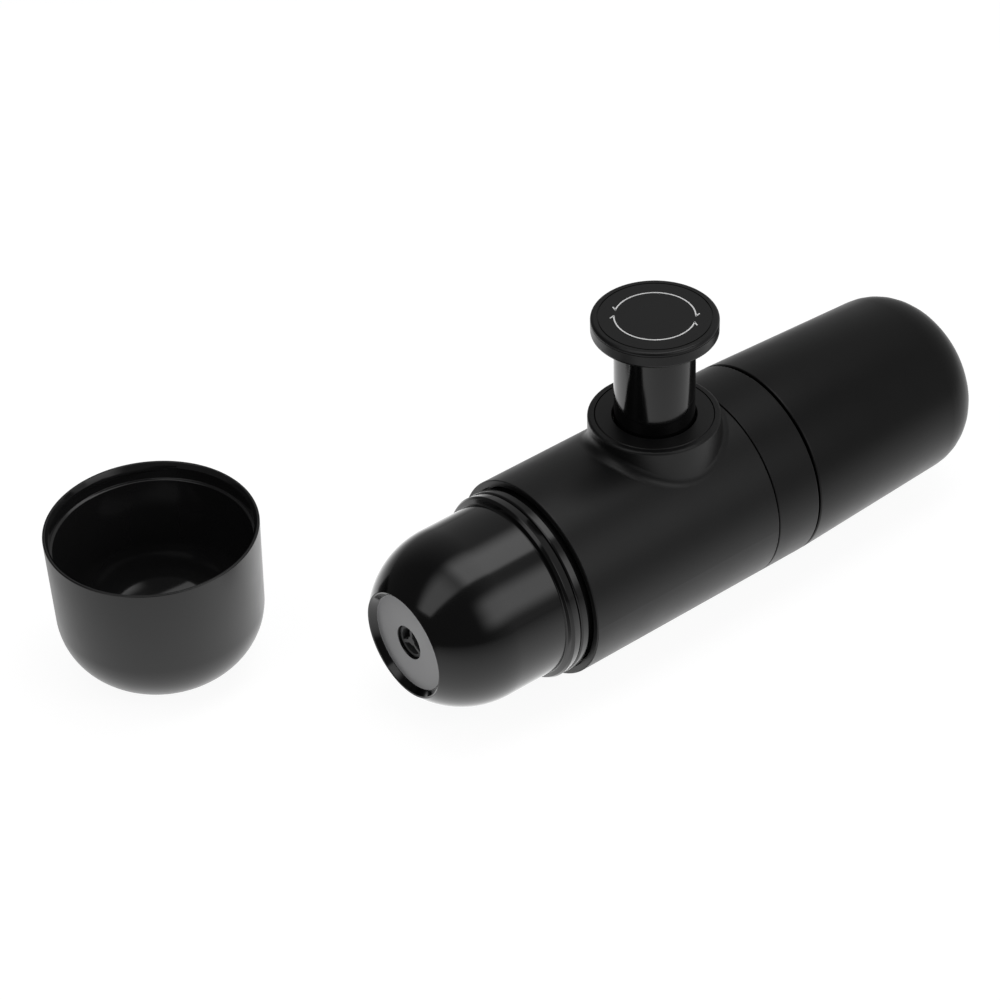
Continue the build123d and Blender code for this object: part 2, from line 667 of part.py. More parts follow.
def plunger_rod():
    rod_top = plug_bottom + PLUG_DEPTH / 2
    rod = turned_z(
        (0, rod_foot_bottom),
        (ROD_FOOT_RADIUS, rod_foot_bottom),
        (ROD_FOOT_RADIUS, rod_foot_bottom + ROD_FOOT_THICK),
        (ROD_STUB_RADIUS, rod_foot_bottom + ROD_FOOT_THICK),
        (ROD_STUB_RADIUS, seal_top + FIT_GAP),
        (ROD_RADIUS, seal_top + FIT_GAP),
        (ROD_RADIUS, rod_top),
        (0, rod_top),
    )
    return rod - rod_z(rod_top - 2 * SCREW_GRIP - FIT_GAP, rod_top, SCREW_RADIUS + FIT_GAP)


def knob_base():
    recess_radius = cap_spigot_radius + FIT_GAP
    head_pocket = cap_spigot_bottom - SCREW_HEAD_THICK - FIT_GAP
    body = turned_z(
        (0, plug_bottom),
        (tube_inner - FIT_GAP, plug_bottom),
        (tube_inner - FIT_GAP, knob_bottom),
        (KNOB_RADIUS, knob_bottom, KNOB_EDGE),
        (KNOB_RADIUS, knob_base_top),
        (recess_radius, knob_base_top),
        (recess_radius, cap_spigot_bottom),
        (0, cap_spigot_bottom),
    )
    hub_radius = SCREW_HEAD_RADIUS + PART_GAP + KNOB_HUB_WALL
    ledge_radius = cap_spigot_radius - CAP_SPIGOT_WALL
    body -= tube_z(knob_bottom + KNOB_FLOOR, cap_spigot_bottom, hub_radius, ledge_radius)
    body -= rod_z(plug_bottom, plug_bottom + PLUG_DEPTH / 2, ROD_RADIUS + FIT_GAP)
    body -= rod_z(plug_bottom, cap_spigot_bottom, SCREW_RADIUS + FIT_GAP)
    return body - rod_z(head_pocket, cap_spigot_bottom, SCREW_HEAD_RADIUS + PART_GAP)


def knob_screw():
    head_top = cap_spigot_bottom - FIT_GAP
    head_bottom = head_top - SCREW_HEAD_THICK
    shank_bottom = plug_bottom + PLUG_DEPTH / 2 - 2 * SCREW_GRIP
    screw = rod_z(shank_bottom, head_bottom, SCREW_RADIUS)
    screw += rod_z(head_bottom, head_top, SCREW_HEAD_RADIUS)
    return slotted_z(screw, head_top)


def knob_cap():
    groove_half = CAP_GROOVE_WIDTH / 2
    return turned_z(
        (0, knob_cap_bottom),
        (cap_spigot_radius - CAP_SPIGOT_WALL, knob_cap_bottom),
        (cap_spigot_radius - CAP_SPIGOT_WALL, cap_spigot_bottom),
        (cap_spigot_radius, cap_spigot_bottom),
        (cap_spigot_radius, knob_cap_bottom),
        (KNOB_RADIUS, knob_cap_bottom),
        (KNOB_RADIUS, knob_top, min(KNOB_EDGE, 0.9 * KNOB_CAP_THICK)),
        (CAP_GROOVE_RADIUS + groove_half, knob_top),
        (CAP_GROOVE_RADIUS + groove_half, knob_top - CAP_GROOVE_DEPTH),
        (CAP_GROOVE_RADIUS - groove_half, knob_top - CAP_GROOVE_DEPTH),
        (CAP_GROOVE_RADIUS - groove_half, knob_top),
        (0, knob_top),
    )


# ---------------------------------------------------------------- inlet and pressure valve
def inlet_tube():
    start, end = INLET_TUBE_START, inlet_tube_end
    return rod_x(start, end, inlet_tube_radius, z=INLET_Z) - rod_x(
        start, end, inlet_tube_radius - INLET_TUBE_WALL, z=INLET_Z
    )


def inlet_valve():
    """Silicone flap on a stem, held against the tube's end."""
    flap = rod_x(INLET_TUBE_START - FLAP_THICK, INLET_TUBE_START, INLET_BORE - PART_GAP, z=INLET_Z)
    stem_end = INLET_TUBE_START + FLAP_STEM_LENGTH
    return flap + rod_x(INLET_TUBE_START, stem_end, FLAP_STEM_RADIUS, z=INLET_Z)


def inlet_strainer():
    """Slotted sieve cap over the tube's end in the tank."""
    start = rear_bulkhead_rear
    end = start + STRAINER_LENGTH
    cap = rod_x(start, end, STRAINER_RADIUS, z=INLET_Z)
    cap -= rod_x(start, end - STRAINER_WALL, STRAINER_RADIUS - STRAINER_WALL, z=INLET_Z)
    slot_length = STRAINER_LENGTH - 3 * STRAINER_WALL
    slot = Box(slot_length, STRAINER_WALL, 4 * STRAINER_RADIUS)
    slot = Pos(start + STRAINER_WALL + slot_length / 2, 0, 0) * slot
    for index in range(STRAINER_SLOTS):
        cap -= Pos(0, 0, INLET_Z) * Rot(180 * index / STRAINER_SLOTS, 0, 0) * slot
    return cap


def valve_seat():
    ring = turned_z(
        (SEAT_HOLE, seat_bottom),
        (SEAT_RADIUS, seat_bottom),
        (SEAT_RADIUS, SEAT_TOP),
        (2 * SEAT_HOLE, SEAT_TOP),
        (SEAT_HOLE, SEAT_TOP - SEAT_HOLE),
    )
    return Pos(VALVE_X, 0, 0) * ring


def valve_poppet():
    """Cone that closes the seat, shoulder for the spring and a guiding stem."""
    poppet = turned_z(
        (0, SEAT_TOP - SEAT_HOLE / 2 + FIT_GAP),
        (1.5 * SEAT_HOLE - FIT_GAP, SEAT_TOP - SEAT_HOLE / 2 + FIT_GAP),
        (2 * SEAT_HOLE - FIT_GAP, SEAT_TOP + FIT_GAP),
        (POPPET_RADIUS, SEAT_TOP + SEAT_HOLE),
        (POPPET_RADIUS, poppet_shoulder_z),
        (POPPET_STEM_RADIUS, poppet_shoulder_z),
        (POPPET_STEM_RADIUS, poppet_shoulder_z + POPPET_STEM_LENGTH),
        (0, poppet_shoulder_z + POPPET_STEM_LENGTH),
    )
    return Pos(VALVE_X, 0, 0) * poppet


def valve_spring():
    ends = (poppet_shoulder_z, CAP_BOTTOM)
    return coil(*ends, VALVE_SPRING_RADIUS, VALVE_WIRE, VALVE_SPRING_TURNS, x=VALVE_X)


def valve_cap():
    """Screw plug on top of the valve column."""
    plug = rod_z(CAP_BOTTOM, COLUMN_TOP, VALVE_BORE - FIT_GAP, VALVE_X)
    plug += rod_z(COLUMN_TOP, COLUMN_TOP + CAP_HEAD_THICK, column_radius, VALVE_X)
    socket = extrude(RegularPolygon(HEX_SOCKET / 2, 6, major_radius=False), 2 * CAP_HEAD_THICK)
    return plug - Pos(VALVE_X, 0, COLUMN_TOP - CAP_HEAD_THICK / 2) * socket


# ---------------------------------------------------------------- brew collar
def brew_collar():
    """Neck band, bore for the head, gasket and shower seats, bulkhead."""
    groove = rib_radius - PART_GAP
    rear_inner = groove - COLLAR_WALL
    body = turned_x(
        (neck_front, COLLAR_BORE),
        (neck_front, NECK_RADIUS, NECK_EDGE_ROUNDING),
        (neck_rear, NECK_RADIUS, FLANGE_EDGE_ROUNDING),
        (neck_rear, seated_radius),
        (front_rib[0] - FIT_GAP, seated_radius),
        (front_rib[0] - FIT_GAP, groove),
        (front_rib[1] + FIT_GAP, groove),
        (front_rib[1] + FIT_GAP, seated_radius),
        (brew_collar_rear, seated_radius),
        (brew_collar_rear, rear_inner),
        (bulkhead_rear, rear_inner),
        (bulkhead_rear, 0),
        (shower_rear, 0),
        (shower_rear, SHOWER_BOSS_RADIUS),
        (bulkhead_front, SHOWER_BOSS_RADIUS),
        (bulkhead_front, SHOWER_RADIUS - SHOWER_LEDGE),
        (shower_rear, SHOWER_RADIUS - SHOWER_LEDGE),
        (shower_rear, SHOWER_RADIUS + FIT_GAP),
        (bore_end, SHOWER_RADIUS + FIT_GAP),
        (bore_end, GASKET_INNER - FIT_GAP),
        (gasket_rear, GASKET_INNER - FIT_GAP),
        (gasket_rear, GASKET_OUTER + FIT_GAP),
        (bore_end, GASKET_OUTER + FIT_GAP),
        (bore_end, COLLAR_BORE),
    )
    body -= rod_x(bulkhead_front, bulkhead_rear, NOZZLE_RADIUS + FIT_GAP, z=NOZZLE_Z)
    screw_hole_end = shower_rear + SHOWER_SCREW_GRIP + FIT_GAP
    return body - rod_x(shower_rear, screw_hole_end, SHOWER_SCREW_RADIUS + FIT_GAP)


def group_gasket():
    return turned_x(
        (gasket_front, GASKET_INNER),
        (gasket_front, GASKET_OUTER),
        (gasket_rear, GASKET_OUTER),
        (gasket_rear, GASKET_INNER),
    )


def shower_plate():
    plate = rod_x(shower_front, shower_rear, SHOWER_RADIUS) - rod_x(
        shower_front, shower_rear, SHOWER_SCREW_RADIUS + FIT_GAP
    )
    pitch = (SHOWER_RADIUS - SHOWER_LEDGE + SHOWER_BOSS_RADIUS) / 2
    return plate - hole_ring_x(shower_front, shower_rear, SHOWER_HOLE, SHOWER_HOLES, pitch)


def shower_screw():
    head_front = shower_front - SHOWER_SCREW_HEAD_THICK
    screw = turned_x(
        (head_front, 0),
        (head_front, SHOWER_SCREW_HEAD - SHOWER_SCREW_HEAD_THICK / 2),
        (head_front + SHOWER_SCREW_HEAD_THICK / 2, SHOWER_SCREW_HEAD),
        (shower_front, SHOWER_SCREW_HEAD),
        (shower_front, SHOWER_SCREW_RADIUS),
        (shower_rear + SHOWER_SCREW_GRIP, SHOWER_SCREW_RADIUS),
        (shower_rear + SHOWER_SCREW_GRIP, 0),
    )
    slot = Pos(head_front, 0, 0) * Box(SHOWER_SCREW_HEAD_THICK, 2 * SHOWER_SCREW_HEAD, SCREW_SLOT_WIDTH)
    return screw - slot


# ---------------------------------------------------------------- outlet head
def dome_point(x):
    """Radius of the dome's arc at a station."""
    return dome_arc_r + sqrt(DOME_ARC ** 2 - (dome_arc_x - x) ** 2)


def outlet_head():
    """Spigot, flange, dome and recessed nose, with the chamber for the basket."""
    spigot_side = FilletPolyline(
        (head_spigot_end, head_spigot_inner),
        (head_spigot_end, head_spigot_radius),
        (flange_rear, head_spigot_radius),
        (flange_rear, NECK_RADIUS),
        (flange_front, NECK_RADIUS),
        (dome_start, DOME_BASE_RADIUS),
        (dome_arc_x, DOME_BASE_RADIUS),
        radius=[0, 0, FLANGE_EDGE_ROUNDING, FLANGE_EDGE_ROUNDING, 0],
    )
    end_angle = degrees(atan2(nose_radius - dome_arc_r, NOSE_X - dome_arc_x))
    dome_arc = CenterArc((dome_arc_x, dome_arc_r), DOME_ARC, 90, end_angle - 90)
    rim_inner = nose_radius - NOSE_RIM_LAND
    wall_turn = nose_inside + NOSE_FLOOR_THICK + HEAD_WALL
    wall_turn_radius = min(dome_point(wall_turn) - 1.4 * HEAD_WALL, throat_radius)
    inside = Polyline(
        (NOSE_X, nose_radius),
        (NOSE_X - NOSE_LIP, nose_radius - NOSE_RIM_LAND / 2),
        (NOSE_X - NOSE_LIP / 2, rim_inner),
        (nose_floor, NOSE_RECESS_RADIUS),
        (nose_floor, SPOUT_HOLE),
        (nose_inside, SPOUT_HOLE),
        (nose_inside, dome_point(nose_inside) - 2 * HEAD_WALL),
        (wall_turn, wall_turn_radius),
        (screen_front, throat_radius),
        (screen_front, HEAD_BORE),
        (head_ledge, HEAD_BORE),
        (head_ledge, head_spigot_inner),
        (head_spigot_end, head_spigot_inner),
    )
    face = make_face(spigot_side.edges() + dome_arc.edges() + inside.edges())
    floor = head_gasket_radius - ORING_RADIUS - FIT_GAP
    return revolve(face, Axis.X) - oring_groove(head_gasket_x, floor, COLLAR_BORE)


def oring(x, centre_radius):
    """Seal ring about the body axis, its section drawn eight-sided."""
    section = Pos(x, centre_radius) * Rot(0, 0, 22.5) * RegularPolygon(ORING_RADIUS, 8)
    return revolve(section, Axis.X)


def oring_groove(x, start_radius, end_radius):
    """What is cut for a seal ring centred at x, between the two radii."""
    half = ORING_RADIUS + FIT_GAP
    return rod_x(x - half, x + half, end_radius) - rod_x(x - half, x + half, start_radius)


def head_gasket():
    """O-ring in the spigot's groove, pressed flat where it seals against the collar's bore."""
    ring = oring(head_gasket_x, head_gasket_radius)
    return ring & rod_x(flange_rear, head_spigot_end, COLLAR_BORE - RUN_GAP)


def outlet_screen():
    disc = rod_x(screen_front, screen_rear, screen_radius)
    disc -= rod_x(screen_front, screen_rear, SCREEN_HOLE)
    return disc - hole_ring_x(screen_front, screen_rear, SCREEN_HOLE, SCREEN_HOLES, throat_radius / 2)


def spout_insert():
    """Ring with radial arms that splits and calms the flow in the nose hole."""
    outer = SPOUT_HOLE - FIT_GAP
    front = nose_floor + INSERT_RECESS
    inner = outer - INSERT_WALL
    ring = turned_x(
        (front, inner),
        (front, outer),
        (nose_inside, outer),
        (nose_inside, SPOUT_HOLE + INSERT_FLANGE_WIDTH),
        (nose_inside + INSERT_FLANGE_THICK, SPOUT_HOLE + INSERT_FLANGE_WIDTH),
        (nose_inside + INSERT_FLANGE_THICK, inner),
    )
    rear = nose_inside + INSERT_FLANGE_THICK
    arms = rod_x(front, rear, INSERT_HUB_RADIUS)
    reach = inner + INSERT_WALL / 2
    arm = Pos((front + rear) / 2, reach / 2, 0) * Box(rear - front, reach, INSERT_ARM_WIDTH)
    for index in range(INSERT_ARMS):
        arms += Rot(360 * index / INSERT_ARMS + 90, 0, 0) * arm
    return ring + arms


# ---------------------------------------------------------------- filter basket
def filter_basket():
    floor_rear = basket_bottom + BASKET_FLOOR
    basket = turned_x(
        (basket_bottom, 0),
        (basket_bottom, basket_radius - PART_GAP),
        (basket_bottom + PART_GAP, basket_radius),
        (basket_rim_bottom, basket_radius),
        (basket_rim_bottom, basket_rim_radius),
        (basket_top, basket_rim_radius),
        (basket_top, basket_inner),
        (floor_rear, basket_inner),
        (floor_rear, 0),
    )
    basket -= rod_x(basket_bottom, floor_rear, BASKET_HOLE)
    return basket - hole_ring_x(basket_bottom, floor_rear, BASKET_HOLE, BASKET_HOLES, basket_inner / 2)


def basket_filter():
    start = basket_bottom + BASKET_FLOOR
    return rod_x(start, start + FILTER_THICK, basket_inner - FIT_GAP)


# ---------------------------------------------------------------- water tank
def tank_outer_radius(x):
    """Radius of the tank's taper at a station."""
    share = (x - tank_front) / TANK_LENGTH
    return BODY_RADIUS + (TANK_END_RADIUS - BODY_RADIUS) * share


def water_tank():
    inside_end = tank_end - TANK_WALL
    inside_corner = tank_outer_radius(inside_end) - TANK_WALL
    thread_end = thread_spigot_end + PART_GAP
    tank = turned_x(
        (tank_front, tank_mouth_inner),
        (tank_front, BODY_RADIUS, TANK_MOUTH_ROUNDING),
        (tank_end, TANK_END_RADIUS, TANK_END_FILLET),
        (tank_end, 0),
        (inside_end, 0),
        (inside_end, inside_corner, TANK_END_FILLET - TANK_WALL),
        (thread_end, tank_mouth_inner),
    )
    groove_top = tank_seal_radius + ORING_RADIUS + FIT_GAP
    return tank - oring_groove(tank_seal_x, THREAD_SPIGOT_RADIUS, groove_top)


def tank_seal():
    return oring(tank_seal_x, tank_seal_radius)


# ---------------------------------------------------------------- cup
def cup():
    """Round-bottomed drinking cup with a stepped mouth."""
    floor = CUP_WALL
    side_inner = CUP_SIDE_RADIUS - CUP_WALL
    mouth_inner = CUP_RIM_RADIUS - CUP_MOUTH_WALL
    step = CUP_HEIGHT - CUP_MOUTH_DEPTH
    bowl = EllipticalCenterArc(
        (CUP_BASE_RADIUS, CUP_ROUND_HEIGHT),
        CUP_SIDE_RADIUS - CUP_BASE_RADIUS,
        CUP_ROUND_HEIGHT,
        start_angle=270,
        arc_size=90,
    )
    bowl_inner = EllipticalCenterArc(
        (CUP_BASE_RADIUS, CUP_ROUND_HEIGHT),
        side_inner - CUP_BASE_RADIUS,
        CUP_ROUND_HEIGHT - floor,
        start_angle=270,
        arc_size=90,
    )
    wall = FilletPolyline(
        (CUP_SIDE_RADIUS, CUP_ROUND_HEIGHT),
        (CUP_RIM_RADIUS, CUP_HEIGHT),
        (mouth_inner, CUP_HEIGHT),
        (mouth_inner, step),
        (side_inner, step),
        (side_inner, CUP_ROUND_HEIGHT),
        radius=[CUP_RIM_ROUNDING, CUP_RIM_ROUNDING, 0, 0],
    )
    base = Polyline(
        (CUP_BASE_RADIUS, floor),
        (0, floor),
        (0, 0),
        (CUP_BASE_RADIUS, 0),
    )
    face = make_face(bowl.edges() + wall.edges() + bowl_inner.edges() + base.edges())
    return Pos(CUP_X, CUP_Y, -BODY_RADIUS) * revolve(Plane.XZ * face, Axis.Z)


# ---------------------------------------------------------------- write the pieces
pieces = {
    "upper_shell": upper_shell,
    "lower_shell": lower_shell,
    "rear_collar": rear_collar,
    "boss_ring": boss_ring,
    "guide_bush": guide_bush,
    "pump_housing": pump_housing,
    "housing_screws": housing_screws,
    "pump_barrel": pump_barrel,
    "pump_spring": pump_spring,
    "spring_washer": spring_washer,
    "piston_seal": piston_seal,
    "piston_tube": piston_tube,
    "plunger_rod": plunger_rod,
    "knob_base": knob_base,
    "knob_screw": knob_screw,
    "knob_cap": knob_cap,
    "inlet_tube": inlet_tube,
    "inlet_valve": inlet_valve,
    "inlet_strainer": inlet_strainer,
    "valve_seat": valve_seat,
    "valve_poppet": valve_poppet,
    "valve_spring": valve_spring,
    "valve_cap": valve_cap,
    "brew_collar": brew_collar,
    "group_gasket": group_gasket,
    "shower_plate": shower_plate,
    "shower_screw": shower_screw,
    "outlet_head": outlet_head,
    "head_gasket": head_gasket,
    "outlet_screen": outlet_screen,
    "spout_insert": spout_insert,
    "filter_basket": filter_basket,
    "basket_filter": basket_filter,
    "water_tank": water_tank,
    "tank_seal": tank_seal,
    "cup": cup,
}

os.makedirs("parts", exist_ok=True)
for name, make in pieces.items():
    export_step(place * make(), f"parts/{name}.step")
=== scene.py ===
import json
from math import asin, cos, degrees, pi, radians, sin, sqrt, tan

import bmesh
import bpy
from mathutils import Matrix, Vector


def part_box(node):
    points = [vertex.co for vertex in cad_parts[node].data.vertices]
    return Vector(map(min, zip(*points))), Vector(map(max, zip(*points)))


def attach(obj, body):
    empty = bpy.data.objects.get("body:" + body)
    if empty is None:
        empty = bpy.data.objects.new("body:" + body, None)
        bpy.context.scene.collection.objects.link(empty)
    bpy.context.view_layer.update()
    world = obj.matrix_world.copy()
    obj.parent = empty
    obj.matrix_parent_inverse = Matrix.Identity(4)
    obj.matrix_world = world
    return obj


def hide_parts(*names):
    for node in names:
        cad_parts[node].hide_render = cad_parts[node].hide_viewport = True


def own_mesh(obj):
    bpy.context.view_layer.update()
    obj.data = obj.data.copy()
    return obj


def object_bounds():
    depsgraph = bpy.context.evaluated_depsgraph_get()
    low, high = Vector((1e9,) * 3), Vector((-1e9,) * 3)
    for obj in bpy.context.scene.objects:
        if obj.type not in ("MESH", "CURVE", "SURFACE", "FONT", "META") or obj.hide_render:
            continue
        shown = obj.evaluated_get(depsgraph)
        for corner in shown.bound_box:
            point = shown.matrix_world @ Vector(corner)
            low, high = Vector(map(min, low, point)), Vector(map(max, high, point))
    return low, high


# Looks of the handheld manual espresso maker. Lengths are written in millimetres, as in
# part.py, and turned into metres by MM. Along the body's axis they are measured from the
# piston's axis, with the nose at minus X; heights on the body are measured from its axis, and
# heights on the cup from its foot. The stage, the lights and the floor's glow are in metres.

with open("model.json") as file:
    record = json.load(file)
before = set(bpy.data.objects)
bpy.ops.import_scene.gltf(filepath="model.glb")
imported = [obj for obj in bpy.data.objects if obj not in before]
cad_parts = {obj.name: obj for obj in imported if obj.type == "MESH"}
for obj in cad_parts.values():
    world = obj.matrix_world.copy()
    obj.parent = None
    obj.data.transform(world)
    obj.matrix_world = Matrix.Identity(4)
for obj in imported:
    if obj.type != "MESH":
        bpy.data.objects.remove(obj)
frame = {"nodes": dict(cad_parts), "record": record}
cad_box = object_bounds()

MM = 0.001


# ---------------------------------------------------------------- places taken from the frame
def middle(node):
    low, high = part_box(node)
    return (Vector(low) + Vector(high)) / 2


body_middle = middle("rear_collar")
piston_middle = middle("knob_cap")
ORIGIN = Vector((piston_middle.x, body_middle.y, body_middle.z))
CUP_FOOT = Vector((middle("cup").x, middle("cup").y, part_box("cup")[0][2]))
KNOB_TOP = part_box("knob_cap")[1][2]

# ---------------------------------------------------------------- fineness of the meshes
STEPS = 168                 # facets round a turned piece
CORNER_FACETS = 10          # facets of a rounded corner
DOME_FACETS = 40            # facets along the dome's arc
BOWL_FACETS = 36            # facets along the round of the cup's bottom
MARK_FACETS = 60            # facets along a printed arc
THREAD_RUN_OUT = 10         # facets over which a thread's end runs out
WIRE_STEPS = 40             # facets along one turn of a spring
WIRE_SIDES = 10             # facets round its wire
SHARP_ANGLE = radians(34)   # edges sharper than this aren't shaded smooth
FACES_FRONT = -0.9          # a normal's X below which a face looks towards the nose
FACES_UP = 0.5              # a normal's Z above which a face looks up
ON_AXIS = 1e-6              # a point nearer to the axis lies on it
MERGED = 1e-7               # metres within which points are joined

# ---------------------------------------------------------------- sizes
EDGE_ROUND = 0.3            # radius of most broken edges
CORNER_ROUND = 0.5          # radius of larger corners
RIM_ROUND = 0.2             # radius on the edges of thin rims

# outlet head
SPIGOT_END = -43.2
SPIGOT_RADIUS = 24.3
SPIGOT_INNER = 22.4
FLANGE_REAR = -50.6
FLANGE_REAR_RADIUS = 27.75
FLANGE_EDGE = -52.9         # where the chamfer of its front edge starts
FLANGE_RADIUS = 28.0
FLANGE_FRONT = -53.7
FLANGE_FRONT_RADIUS = 27.5
FLANGE_FRONT_ROUND = 0.25
DOME_START = -54.1
DOME_RADIUS = 26.0
DOME_ARC_X = -69.8          # centre of the dome's arc
DOME_ARC = 28.0             # its radius
NOSE_X = -90.75
NOSE_RIM_X = -91.2
NOSE_RIM_SLOPE = 0.45       # how far the rim's outer slope comes in
NOSE_RIM_INNER_X = NOSE_X - 0.22
NOSE_RIM_WIDTH = 0.9        # how far the rim's inner edge comes in
NOSE_RIM_INNER_ROUND = 0.15
NOSE_FLOOR = -89.2
NOSE_FLOOR_SLACK = 0.1      # how far behind the recess's floor a face still counts to it
NOSE_RECESS_RADIUS = 14.4
NOSE_INSIDE = -86.7
NOSE_INSIDE_RADIUS = 15.1
WALL_TURN = (-81.6, 19.7)   # where the inside of the dome's wall bends
SPOUT_HOLE = 5.0
SCREEN_FRONT = -68.4
THROAT_RADIUS = 19.9
HEAD_BORE = 21.9
HEAD_LEDGE = -45.0
ORING_X = -49.8
ORING_GROOVE_HALF = 0.8
ORING_FLOOR = 23.6

# water tank
TANK_FRONT = 37.8
TANK_END = 109.4
TANK_RADIUS = 30.0
TANK_END_RADIUS = 27.4
TANK_END_FILLET = 16.4
TANK_WALL = 2.4
TANK_MOUTH = 26.8
TANK_THREAD_RADIUS = 27.4
TANK_THREAD_START = 41.5
TANK_THREAD_END = 46.3

# cup
CUP_HEIGHT = 47.4
CUP_RIM = 30.5
CUP_SIDE = 29.8
CUP_BASE = 10.0             # radius of the flat that it stands on
CUP_ROUND = 20.0            # height up to which its bottom is round
CUP_WALL = 1.6
CUP_MOUTH_WALL = 1.5
CUP_MOUTH_DEPTH = 5.2
CUP_LAND = 0.75             # flat of the rim
CUP_LEAD = 1.5              # depth of the slope inside the rim
CUP_LEDGE_SLOPE = 0.3       # depth of the slope under the mouth
CUP_LEDGE_ROUND = 0.12

# threads: start and pitch along the axis, radii of a ridge's foot and crest, how many ridges
# there are, and where round the axis the first one starts, in degrees
SPIGOT_THREAD = {
    "start": 41.9, "pitch": 2.0, "turns": 1.5, "foot": 26.4, "crest": 27.15,
    "ridges": 2, "first": 0,
}
CUP_THREAD = {
    "start": CUP_HEIGHT - 1.9, "pitch": -3.4, "turns": 0.17, "foot": 29.1, "crest": 28.7,
    "ridges": 3, "first": 42,
}
THREAD_HALF = 0.3           # half the width of a ridge's foot, in pitches
THREAD_TAPER = 3            # how many times narrower its crest is

# springs
SPRING_CLOSED = 1.05        # rise of the closed turn at each end, in wires

# printed turning marks on the knob
MARK_RADIUS = 11.3
MARK_WIDTH = 0.42
MARK_THICK = 0.02
MARK_BARB = 1.55
MARK_BARB_SLOPE = radians(43)
MARK_ARCS = ((-40.5, 124.0), (138.8, 303.8))    # degrees, start and end of each arc

# finishes
PLASTIC_IOR = 1.46
NOISE_SPAN = (0.25, 0.75)   # between these lies most of what a noise texture gives

# floor and sky
FLOOR_HALF = 4
FLOOR_GAP = 0.0002          # how far below the object's lowest point it lies
FLOOR_COLOUR = 0.2
FLOOR_SEEN = 0.92           # its own light to the camera
FLOOR_FAR = 0.22            # what shines back from it far out
FLOOR_NEAR = 1.4            # how much more shines back from under the object
FLOOR_REACH = 0.115         # distance over which that halves
FLOOR_STRETCH = 0.6         # how much slower it fades along the body
SKY_LEFT = 0.09
SKY_RIGHT = 0.42
SKY_SPAN = (-0.3, 0.8)      # X of the directions between which it turns from left to right

# camera
CAMERA_PLACE = Vector((-470.3, -540.35, 572.3))
CAMERA_AIM = Vector((-30.6, 32.95, 0.0))
CAMERA_ROLL = radians(-1.95)
CAMERA_LENS = 114.17
CAMERA_SENSOR = 36.0


# ---------------------------------------------------------------- mesh helpers
def arc(centre, radius, start, end, facets):
    """Points of an arc about a centre, angles in degrees."""
    points = []
    for step in range(facets + 1):
        angle = radians(start + (end - start) * step / facets)
        points.append((centre[0] + radius * cos(angle), centre[1] + radius * sin(angle)))
    return points


def rounded(corners):
    """Closed path through (u, v) corners; a third value rounds that corner."""
    path = []
    for index, corner in enumerate(corners):
        here = Vector(corner[:2])
        rounding = corner[2] if len(corner) == 3 else 0
        if not rounding:
            path.append(tuple(here))
            continue
        back = (Vector(corners[index - 1][:2]) - here).normalized()
        on = (Vector(corners[(index + 1) % len(corners)][:2]) - here).normalized()
        half = back.angle(on) / 2
        centre = here + (back + on).normalized() * rounding / sin(half)
        start = here + back * rounding / tan(half) - centre
        end = here + on * rounding / tan(half) - centre
        turn = start.angle_signed(end)
        for step in range(CORNER_FACETS + 1):
            rotation = Matrix.Rotation(-turn * step / CORNER_FACETS, 2)
            path.append(tuple(centre + rotation @ start))
    return path


def smooth(mesh):
    mesh.polygons.foreach_set("use_smooth", [True] * len(mesh.polygons))
    mesh.set_sharp_from_angle(angle=SHARP_ANGLE)


def mesh_piece(name, verts, faces, body, slot, replaced=(), finish=None):
    """Object from points in millimetres from ORIGIN, riding on a body; its finish is its
    slot's if no other is given."""
    mesh = bpy.data.meshes.new(name)
    mesh.from_pydata([ORIGIN + Vector(vert) * MM for vert in verts], [], faces)
    shaped = bmesh.new()
    shaped.from_mesh(mesh)
    bmesh.ops.remove_doubles(shaped, verts=shaped.verts, dist=MERGED)
    bmesh.ops.recalc_face_normals(shaped, faces=shaped.faces)
    shaped.to_mesh(mesh)
    shaped.free()
    smooth(mesh)
    piece = bpy.data.objects.new(name, mesh)
    bpy.context.scene.collection.objects.link(piece)
    mesh.materials.append(finishes[finish or slot])
    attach(piece, body)
    if replaced:
        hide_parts(*replaced)
    return piece


def shine(piece, finish, chosen):
    """Gives another finish to the faces that chosen(centre, normal) picks."""
    piece.data.materials.append(finishes[finish])
    for polygon in piece.data.polygons:
        if chosen(polygon.center, polygon.normal):
            polygon.material_index = 1


def turned(path, place):
    """Points and faces of a closed path turned once round; place(u, v, angle) gives a point."""
    verts = [place(u, v, 2 * pi * step / STEPS) for step in range(STEPS) for u, v in path]
    count = len(path)
    faces = []
    for step in range(STEPS):
        here, there = step * count, (step + 1) % STEPS * count
        for index in range(count):
            following = (index + 1) % count
            if path[index][1] < ON_AXIS and path[following][1] < ON_AXIS:
                continue
            faces.append((here + index, here + following, there + following, there + index))
    return verts, faces


def bridged(count, size):
    """Faces of an open tube along count steps, whose rings have size points each."""
    faces = []
    for step in range(count):
        here, there = step * size, (step + 1) * size
        for index in range(size):
            following = (index + 1) % size
            faces.append((here + index, here + following, there + following, there + index))
    return faces


